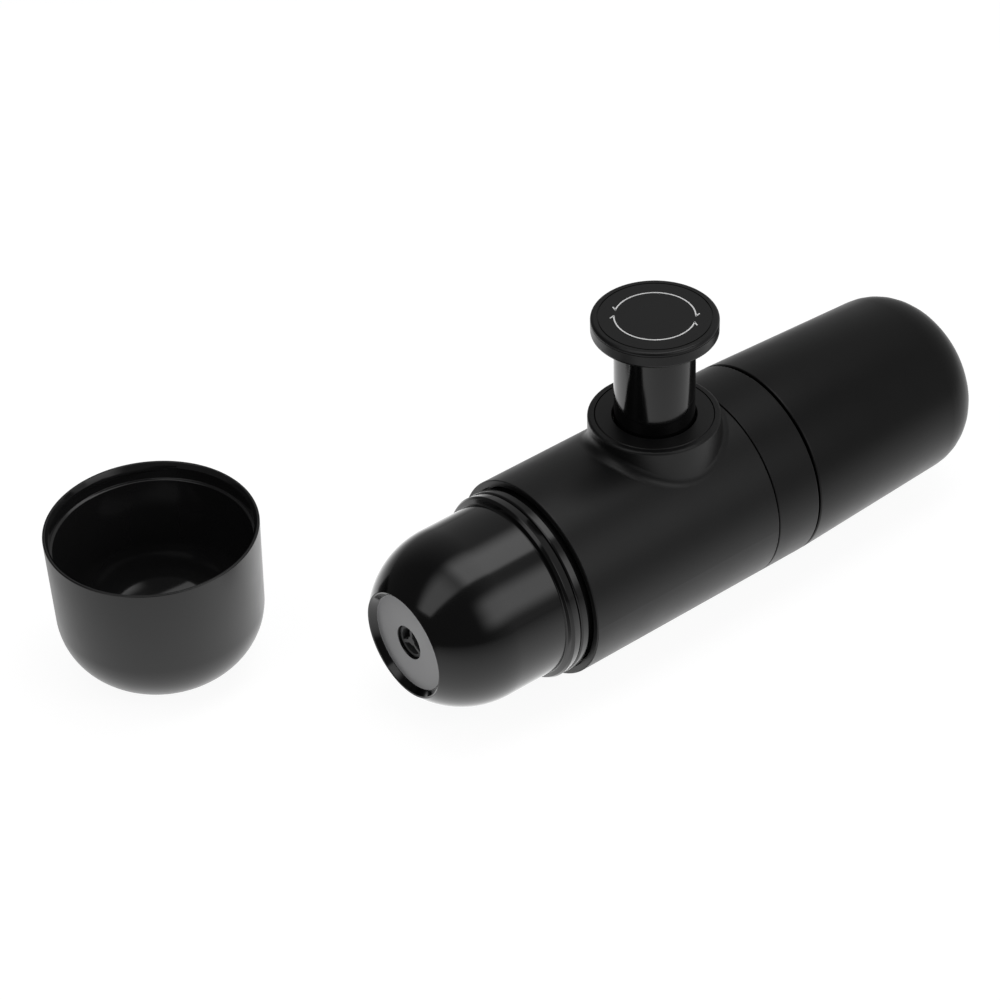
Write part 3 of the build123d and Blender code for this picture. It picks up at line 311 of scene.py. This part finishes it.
def threads(name, shape, place, body, slot, finish=None):
    """Ridges of a thread, evenly spread round its axis. Their ends run out."""
    half = abs(shape["pitch"]) * THREAD_HALF
    crest_half = half / THREAD_TAPER
    foot = shape["foot"]
    count = int(STEPS * shape["turns"])
    for number in range(shape["ridges"]):
        begin = radians(shape["first"] + 360 / shape["ridges"] * number)
        verts = []
        for step in range(count + 1):
            angle = begin + 2 * pi * step / STEPS
            along = shape["start"] + shape["pitch"] * step / STEPS
            height = min(1, step / THREAD_RUN_OUT, (count - step) / THREAD_RUN_OUT)
            top = foot + (shape["crest"] - foot) * height
            section = ((-half, foot), (-crest_half, top), (crest_half, top), (half, foot))
            verts += [place(along + u, v, angle) for u, v in section]
        ridge = "%s_%d" % (name, number + 1)
        mesh_piece(ridge, verts, bridged(count, len(section)), body, slot, finish=finish)


def about_body(u, v, angle):
    """Point at u along the body's axis and v from it."""
    return (u, v * cos(angle), v * sin(angle))


def about_cup(u, v, angle):
    """Point at height u above the cup's foot and v from the cup's axis."""
    foot = (CUP_FOOT - ORIGIN) / MM
    return (foot.x + v * cos(angle), foot.y + v * sin(angle), foot.z + u)


# ---------------------------------------------------------------- material helpers
class Nodes:
    """A node tree, with short ways to add to it. Values are numbers, colours or vectors to
    set, or outputs of other nodes to link."""

    def __init__(self, owner):
        owner.use_nodes = True
        self.tree = owner.node_tree

    def feed(self, node, values):
        """Sets or links inputs of a node, by their names or places."""
        for key, value in values.items():
            if isinstance(value, bpy.types.NodeSocket):
                self.tree.links.new(value, node.inputs[key])
            else:
                node.inputs[key].default_value = value

    def add(self, kind, output, values=None, **settings):
        """Adds a node and gives one of its outputs."""
        node = self.tree.nodes.new("ShaderNode" + kind)
        for name, setting in settings.items():
            setattr(node, name, setting)
        self.feed(node, values or {})
        return node.outputs[output]

    def math(self, operation, first, second):
        return self.add("Math", "Value", {0: first, 1: second}, operation=operation)

    def ranged(self, value, span, result=(0, 1), **settings):
        """Value that runs over one span brought to run over another."""
        values = {"Value": value, "From Min": span[0], "From Max": span[1]}
        values.update({"To Min": result[0], "To Max": result[1]})
        return self.add("MapRange", "Result", values, **settings)

    def axis(self, vector, name):
        return self.add("SeparateXYZ", name, {"Vector": vector})


class Finish(Nodes):
    """A material with a Principled shader, and short ways to give it what a real one shows."""

    def __init__(self, name, colour, roughness, metallic=0.0, ior=1.5, specular=0.5):
        self.name = name
        self.colour = colour
        self.roughness = roughness
        self.material = bpy.data.materials.new(name)
        super().__init__(self.material)
        self.shader = self.tree.nodes["Principled BSDF"]
        self.feed(self.shader, {
            "Base Color": (*colour, 1),
            "Roughness": roughness,
            "Metallic": metallic,
            "IOR": ior,
            "Specular IOR Level": specular,
        })
        self.place = self.add("TexCoord", "Object")

    def noise(self, cell, detail, stretch=(1, 1, 1)):
        """Noise whose cells measure about that many millimetres."""
        scaled = self.add("Mapping", "Vector", {"Vector": self.place, "Scale": stretch})
        values = {"Vector": scaled, "Scale": 1 / (cell * MM), "Detail": detail}
        return self.add("TexNoise", "Fac", values)

    def clouded(self, cell, share):
        """Colour that drifts lighter and darker by a share."""
        drift = self.ranged(self.noise(cell, detail=3), NOISE_SPAN)
        darker = (*(part * (1 - share) for part in self.colour), 1)
        lighter = (*(part * (1 + share) for part in self.colour), 1)
        values = {"A": darker, "B": lighter, "Factor": drift}
        mixed = self.add("Mix", "Result", values, data_type="RGBA")
        self.feed(self.shader, {"Base Color": mixed})
        return self

    def smudged(self, cell, amount):
        """Roughness that drifts by an amount, as handling leaves it."""
        drifting = (self.roughness - amount, self.roughness + amount)
        drift = self.ranged(self.noise(cell, detail=4), NOISE_SPAN, drifting)
        self.feed(self.shader, {"Roughness": drift})
        return self

    def grained(self, cell, height, stretch=(1, 1, 1)):
        """Fine relief, cell and height in millimetres."""
        grain = self.noise(cell, detail=2, stretch=stretch)
        values = {"Height": grain, "Distance": height * MM, "Strength": 1.0}
        self.feed(self.shader, {"Normal": self.add("Bump", "Normal", values)})
        return self


def satin(name, colour, roughness, specular=0.5):
    finish = Finish(name, colour, roughness, ior=PLASTIC_IOR, specular=specular)
    return finish.clouded(18, share=0.06).smudged(9, amount=0.03).grained(0.45, height=0.006)


def gloss(name, colour, roughness):
    finish = Finish(name, colour, roughness, ior=PLASTIC_IOR)
    return finish.clouded(25, share=0.08).smudged(14, amount=0.012).grained(6.0, height=0.004)


def metal(name, colour, roughness, stretch=(1, 1, 1)):
    finish = Finish(name, colour, roughness, metallic=1.0)
    finish.clouded(6, share=0.05).smudged(3, amount=0.05)
    return finish.grained(0.3, height=0.004, stretch=stretch)


def plain(name, colour, roughness, cloud, share, smudge, amount):
    return Finish(name, colour, roughness).clouded(cloud, share).smudged(smudge, amount)


def grey(level, blue=1.03):
    return (level, level, level * blue)


FINISHES = (
    satin("casing", grey(0.0045), 0.4, specular=0.35),
    satin("band", grey(0.0035), 0.38, specular=0.28),
    satin("boss_ring", grey(0.005), 0.42, specular=0.35),
    satin("knob", grey(0.0048), 0.32, specular=0.36),
    gloss("piston", grey(0.003), 0.12),
    gloss("dome", grey(0.003), 0.12),
    gloss("neck", grey(0.004), 0.14),
    # tank: its base colour, darker than the casing's, and its lower specular are painted shade, for
    # the light that falls off towards the tank
    satin("tank", grey(0.001), 0.34, specular=0.28),
    satin("cup", grey(0.004), 0.32),
    satin("basket", grey(0.012), 0.45),
    gloss("cup_inside", grey(0.014), 0.1),
    # nose_face: its light grey base colour is a painted reflection, standing in for the bright
    # floor that the black face reflects
    satin("nose_face", grey(0.135), 0.35),
    plain("bearing", (0.62, 0.61, 0.58), 0.45, cloud=8, share=0.03, smudge=5, amount=0.05),
    metal("chassis", (0.62, 0.62, 0.63), 0.5),
    plain("seal", grey(0.035), 0.7, cloud=4, share=0.08, smudge=3, amount=0.06),
    metal("steel", (0.6, 0.6, 0.6), 0.3, stretch=(1, 1, 8)),
    metal("spring_steel", (0.55, 0.55, 0.55), 0.28),
    metal("sieve", (0.65, 0.65, 0.65), 0.32),
    metal("brass", (0.72, 0.55, 0.28), 0.3),
    plain("print_ink", (0.82, 0.82, 0.82), 0.55, cloud=1.5, share=0.06, smudge=1, amount=0.05),
)
finishes = {finish.name: finish.material for finish in FINISHES}


# ---------------------------------------------------------------- pieces
def finish_cad_nodes():
    """Every CAD node gets the finish of its slot and smooth rounds."""
    for subpart in frame["record"]["subparts"]:
        node = frame["nodes"][subpart["node"]]
        smooth(node.data)
        node.data.materials.clear()
        node.data.materials.append(finishes[subpart["material_slot"]])


def outlet_head():
    """Flange, dome and recessed nose, with the chamber for the basket."""
    dome_arc_r = DOME_RADIUS - DOME_ARC
    dome_length = DOME_ARC_X - NOSE_X
    end_angle = 90 + degrees(asin(dome_length / DOME_ARC))
    nose_radius = dome_arc_r + sqrt(DOME_ARC ** 2 - dome_length ** 2)
    groove_start, groove_end = ORING_X + ORING_GROOVE_HALF, ORING_X - ORING_GROOVE_HALF
    front = rounded((
        (FLANGE_REAR, SPIGOT_RADIUS),
        (FLANGE_REAR, FLANGE_REAR_RADIUS, EDGE_ROUND),
        (FLANGE_EDGE, FLANGE_RADIUS, EDGE_ROUND),
        (FLANGE_FRONT, FLANGE_FRONT_RADIUS, FLANGE_FRONT_ROUND),
        (DOME_START, DOME_RADIUS, CORNER_ROUND),
        (DOME_ARC_X, DOME_RADIUS),
    ))
    dome = arc((DOME_ARC_X, dome_arc_r), DOME_ARC, 90, end_angle, DOME_FACETS)[1:-1]
    nose = rounded((
        (NOSE_X, nose_radius),
        (NOSE_RIM_X, nose_radius - NOSE_RIM_SLOPE, RIM_ROUND),
        (NOSE_RIM_INNER_X, nose_radius - NOSE_RIM_WIDTH, NOSE_RIM_INNER_ROUND),
        (NOSE_FLOOR, NOSE_RECESS_RADIUS, CORNER_ROUND),
        (NOSE_FLOOR, SPOUT_HOLE, EDGE_ROUND),
        (NOSE_INSIDE, SPOUT_HOLE),
        (NOSE_INSIDE, NOSE_INSIDE_RADIUS),
        WALL_TURN,
        (SCREEN_FRONT, THROAT_RADIUS),
        (SCREEN_FRONT, HEAD_BORE),
        (HEAD_LEDGE, HEAD_BORE),
        (HEAD_LEDGE, SPIGOT_INNER),
        (SPIGOT_END, SPIGOT_INNER),
        (SPIGOT_END, SPIGOT_RADIUS),
        (groove_start, SPIGOT_RADIUS),
        (groove_start, ORING_FLOOR),
        (groove_end, ORING_FLOOR),
        (groove_end, SPIGOT_RADIUS),
    ))
    outline = turned(front + dome + nose, about_body)
    shell = mesh_piece("head_shell", *outline, "head", "dome", ["outlet_head"])

    def on_recess(centre, normal):
        """Whether a face belongs to the flat floor of the nose's recess."""
        depth = (centre.x - ORIGIN.x) / MM
        return normal.x < FACES_FRONT and NOSE_X < depth < NOSE_FLOOR + NOSE_FLOOR_SLACK

    # the recess floor gets the light grey nose_face finish: a painted reflection of the bright
    # floor
    shine(shell, "nose_face", on_recess)


def water_tank():
    """Tapered tank with a round end, and the thread on the collar that it screws on to."""
    taper = (TANK_RADIUS - TANK_END_RADIUS) / (TANK_END - TANK_FRONT)
    inside_end = TANK_END - TANK_WALL
    inside_corner = TANK_END_RADIUS + taper * TANK_WALL - TANK_WALL
    outline = turned(rounded((
        (TANK_FRONT, TANK_MOUTH),
        (TANK_FRONT, TANK_RADIUS, CORNER_ROUND),
        (TANK_END, TANK_END_RADIUS, TANK_END_FILLET),
        (TANK_END, 0),
        (inside_end, 0),
        (inside_end, inside_corner, TANK_END_FILLET - TANK_WALL),
        (TANK_THREAD_END, TANK_THREAD_RADIUS),
        (TANK_THREAD_START, TANK_THREAD_RADIUS),
        (TANK_THREAD_START, TANK_MOUTH),
    )), about_body)
    mesh_piece("tank_shell", *outline, "tank", "tank", ["water_tank"])
    threads("spigot_thread", SPIGOT_THREAD, about_body, "casing", "band")


def cup():
    """Drinking cup with a round bottom, a ledge under its mouth and a thread inside it."""
    side_inner = CUP_SIDE - CUP_WALL
    mouth_inner = CUP_RIM - CUP_MOUTH_WALL
    ledge = CUP_HEIGHT - CUP_MOUTH_DEPTH
    quarter = [radians(90 * index / BOWL_FACETS) for index in range(1, BOWL_FACETS + 1)]

    def bowl(depth, reach, turns):
        """Points of the round between the cup's flat and its side."""
        return [(CUP_ROUND - depth * sin(turn), CUP_BASE + reach * cos(turn)) for turn in turns]

    outside = bowl(CUP_ROUND, CUP_SIDE - CUP_BASE, reversed(quarter))
    wall = rounded((
        (CUP_ROUND, CUP_SIDE),
        (CUP_HEIGHT, CUP_RIM, EDGE_ROUND),
        (CUP_HEIGHT, CUP_RIM - CUP_LAND, RIM_ROUND),
        (CUP_HEIGHT - CUP_LEAD, mouth_inner, EDGE_ROUND),
        (ledge, mouth_inner, CUP_LEDGE_ROUND),
        (ledge - CUP_LEDGE_SLOPE, side_inner, EDGE_ROUND),
        (CUP_ROUND, side_inner),
    ))
    inside = bowl(CUP_ROUND - CUP_WALL, side_inner - CUP_BASE, quarter)
    outline = turned([(0, 0), *outside, *wall, *inside, (CUP_WALL, 0)], about_cup)
    shell = mesh_piece("cup_shell", *outline, "cup_body", "cup", ["cup"])
    threads("cup_thread", CUP_THREAD, about_cup, "cup_body", "cup", "cup_inside")

    def on_inside(centre, normal):
        """Whether a face looks towards the cup's axis, or up from below the mouth."""
        inward = normal.xy.dot(centre.xy - CUP_FOOT.xy) < 0
        return inward or (normal.z > FACES_UP and centre.z < CUP_FOOT.z + ledge * MM)

    shine(shell, "cup_inside", on_inside)


def spring(node, wire, turns):
    """Compression spring with closed ends."""
    low, high = (Vector(corner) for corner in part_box(node))
    centre = ((low + high) / 2 - ORIGIN) / MM
    radius = (high.x - low.x) / 2 / MM - wire / 2
    bottom = (low.z - ORIGIN.z) / MM + wire / 2
    top = (high.z - ORIGIN.z) / MM - wire / 2
    closed_rise = wire * SPRING_CLOSED
    open_rise = top - bottom - 2 * closed_rise
    verts = []
    count = int(turns * WIRE_STEPS)
    for step in range(count + 1):
        turn = step / WIRE_STEPS
        angle = 2 * pi * turn
        closed_turns = min(turn, 1) + max(0, turn - turns + 1)
        open_share = min(1, max(0, (turn - 1) / (turns - 2)))
        height = bottom + closed_rise * closed_turns + open_rise * open_share
        for side in range(WIRE_SIDES):
            around = 2 * pi * side / WIRE_SIDES
            out = radius + wire / 2 * cos(around)
            place = (centre.x + out * cos(angle), centre.y + out * sin(angle))
            verts.append((*place, height + wire / 2 * sin(around)))
    faces = bridged(count, WIRE_SIDES)
    for end in (0, count * WIRE_SIDES):
        faces.append(tuple(range(end, end + WIRE_SIDES)))
    piece = mesh_piece(node + "_wire", verts, faces, "casing", "spring_steel", [node])
    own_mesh(piece)


def turning_marks():
    """Two printed arcs on the knob, each with half an arrowhead at both ends."""
    top = (KNOB_TOP - ORIGIN.z) / MM
    half = MARK_WIDTH / 2
    verts, faces = [], []

    def strip(line):
        """Flat printed line through (x, y) points."""
        points = [Vector(point) for point in line]
        first = len(verts)
        for index, point in enumerate(points):
            along = points[min(index + 1, len(points) - 1)] - points[max(index - 1, 0)]
            side = Vector((-along.y, along.x)).normalized() * half
            for height in (0, MARK_THICK):
                for edge in (point - side, point + side):
                    verts.append((edge.x, edge.y, top + height))
        for index in range(len(points) - 1):
            low = first + 4 * index
            for a, b in ((0, 1), (1, 3), (3, 2), (2, 0)):
                faces.append((low + a, low + b, low + b + 4, low + a + 4))
        for low in (first, len(verts) - 4):
            faces.append((low, low + 1, low + 3, low + 2))

    for start, end in MARK_ARCS:
        strip(arc((0, 0), MARK_RADIUS, start, end, MARK_FACETS))
        for tip, way in ((start, 1), (end, -1)):
            point = Vector((cos(radians(tip)), sin(radians(tip)))) * MARK_RADIUS
            outward = point.normalized()
            onward = Vector((-outward.y, outward.x)) * way
            barb = outward * sin(MARK_BARB_SLOPE) + onward * cos(MARK_BARB_SLOPE)
            strip((point - barb * half, point + barb * MARK_BARB))
    mesh_piece("turning_marks", verts, faces, "knob", "knob", finish="print_ink")


# ---------------------------------------------------------------- stage, light and camera
def floor():
    """Pale floor, white to the camera; what shines back from it is brightest round the object."""
    mesh = bpy.data.meshes.new("floor")
    corners = [(x * FLOOR_HALF, y * FLOOR_HALF, 0) for x, y in ((-1, -1), (1, -1), (1, 1), (-1, 1))]
    mesh.from_pydata(corners, [], [(0, 1, 2, 3)])
    stage = bpy.data.objects.new("floor", mesh)
    stage.location.z = cad_box[0][2] - FLOOR_GAP
    bpy.context.scene.collection.objects.link(stage)
    pale = Finish("floor", grey(FLOOR_COLOUR, blue=1), 1.0, specular=0.0)
    scale = (FLOOR_STRETCH, 1, 1)
    stretched = pale.add("Mapping", "Vector", {"Vector": pale.place, "Scale": scale})
    glow = pale.add("VectorMath", "Value", {0: stretched}, operation="LENGTH")
    for operation, number in (
        ("DIVIDE", FLOOR_REACH),
        ("POWER", 2.0),
        ("ADD", 1.0),
        ("POWER", -1.0),
        ("MULTIPLY", FLOOR_NEAR),
        ("ADD", FLOOR_FAR),
    ):
        glow = pale.math(operation, glow, number)
    to_camera = pale.add("LightPath", "Is Camera Ray")
    seen = pale.add("Mix", "Result", {"A": glow, "B": FLOOR_SEEN, "Factor": to_camera})
    pale.feed(pale.shader, {"Emission Color": (1, 1, 1, 1), "Emission Strength": seen})
    mesh.materials.append(pale.material)


def softbox(name, centre, aim, size, radiance, edges):
    """Area light of a size in metres that looks at a point; edges are the four shares over
    which it fades: low and high end of its width, low and high end of its height."""
    light = bpy.data.lights.new(name, "AREA")
    light.shape = "RECTANGLE"
    light.size, light.size_y = size
    light.energy = radiance * pi * size[0] * size[1]
    nodes = Nodes(light)
    across = nodes.add("NewGeometry", "Parametric")
    strength = 1.0
    for axis, start, share in zip("XXYY", (0, 1, 0, 1), edges):
        span = (start, abs(start - share))
        fade = nodes.ranged(nodes.axis(across, axis), span, interpolation_type="SMOOTHSTEP")
        strength = nodes.math("MULTIPLY", strength, fade)
    nodes.feed(nodes.tree.nodes["Emission"], {"Strength": strength})
    lamp = bpy.data.objects.new(name, light)
    lamp.location = centre
    lamp.rotation_euler = (Vector(aim) - Vector(centre)).to_track_quat("-Z", "Y").to_euler()
    bpy.context.scene.collection.objects.link(lamp)


def sky():
    """White behind the camera's rays; as light, a dim room that is paler towards the right."""
    world = bpy.data.worlds.new("sky")
    bpy.context.scene.world = world
    nodes = Nodes(world)
    across = nodes.axis(nodes.add("NewGeometry", "Position"), "X")
    tones = (SKY_LEFT, SKY_RIGHT)
    room = nodes.ranged(across, SKY_SPAN, tones, interpolation_type="SMOOTHSTEP")
    level = nodes.math("MAXIMUM", nodes.add("LightPath", "Is Camera Ray"), room)
    nodes.feed(nodes.tree.nodes["Background"], {"Color": level})


def camera():
    data = bpy.data.cameras.new("camera")
    data.lens = CAMERA_LENS
    data.sensor_width = CAMERA_SENSOR
    data.sensor_fit = "HORIZONTAL"
    view = bpy.data.objects.new("camera", data)
    look = (CAMERA_AIM - CAMERA_PLACE).to_track_quat("-Z", "Y").to_matrix()
    look = look @ Matrix.Rotation(CAMERA_ROLL, 3, "Z")
    view.matrix_world = Matrix.Translation(ORIGIN + CAMERA_PLACE * MM) @ look.to_4x4()
    bpy.context.scene.collection.objects.link(view)
    bpy.context.scene.camera = view


finish_cad_nodes()
outlet_head()
water_tank()
cup()
spring("pump_spring", wire=1.2, turns=8.5)
spring("valve_spring", wire=0.6, turns=5.5)
turning_marks()

floor()
sky()
softbox(
    "overhead_light", centre=(0.1, 0.03, 0.68), aim=(0.1, 0.03, 0.0), size=(0.6, 0.56),
    radiance=1.95, edges=(0.3, 0.09, 0.1, 0.5),
)
softbox(
    "left_light", centre=(-0.54, 0.03, 0.7), aim=(-0.54, 0.03, 0.0), size=(1.2, 0.58),
    radiance=1.3, edges=(0.05, 0.4, 0.1, 0.5),
)
softbox(
    "front_light", centre=(0.07, -0.64, 0.43), aim=(0.0, -0.03, 0.03), size=(0.7, 0.7),
    radiance=1.6, edges=(0.5, 0.1, 0.38, 0.38),
)
camera()
bpy.context.scene.view_settings.view_transform = "Standard"
